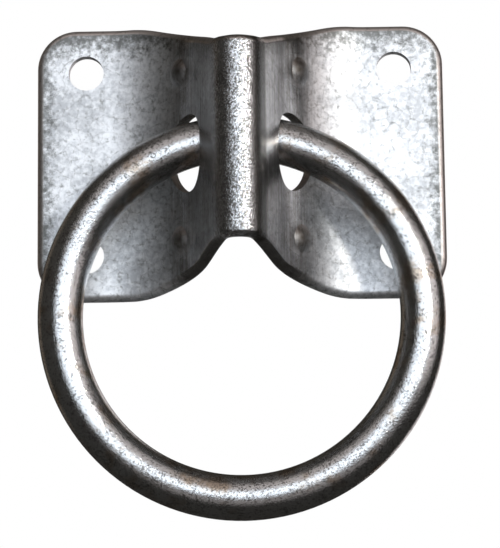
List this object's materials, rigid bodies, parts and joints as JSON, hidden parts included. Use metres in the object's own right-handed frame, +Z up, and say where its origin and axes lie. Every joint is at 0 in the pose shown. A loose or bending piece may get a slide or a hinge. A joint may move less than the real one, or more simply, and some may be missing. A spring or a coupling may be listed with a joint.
{
  "type": "tie ring",
  "caption": "Zinc-plated steel tie ring: a round bar ring threaded through the raised rib of a bent sheet plate with screw holes, for tying a rope or lead to a wall or post.",
  "frame": {"origin": "middle of the four-hole screw pattern, on the plate's back face", "axes": "+X across the plate, +Y into the wall, +Z up along the rib; the ring hangs towards -Z"},
  "size_m": [0.0984, 0.035, 0.12],
  "materials": {
    "plate_zinc": "bright zinc plating on rolled sheet, slightly mottled",
    "ring_zinc": "bright zinc plating on round bar, slightly rough"
  },
  "bodies": {
    "plate": {"mounting_plate": "plate_zinc"},
    "ring": {"ring": "ring_zinc"}
  },
  "joints": [
    {"name": "ring_swing", "type": "hinge", "parent": "plate", "child": "ring", "pos_m": [0, -0.01385, 0.00165], "axis": [-1, 0, 0], "range_deg": [-5, 175]}
  ]
}
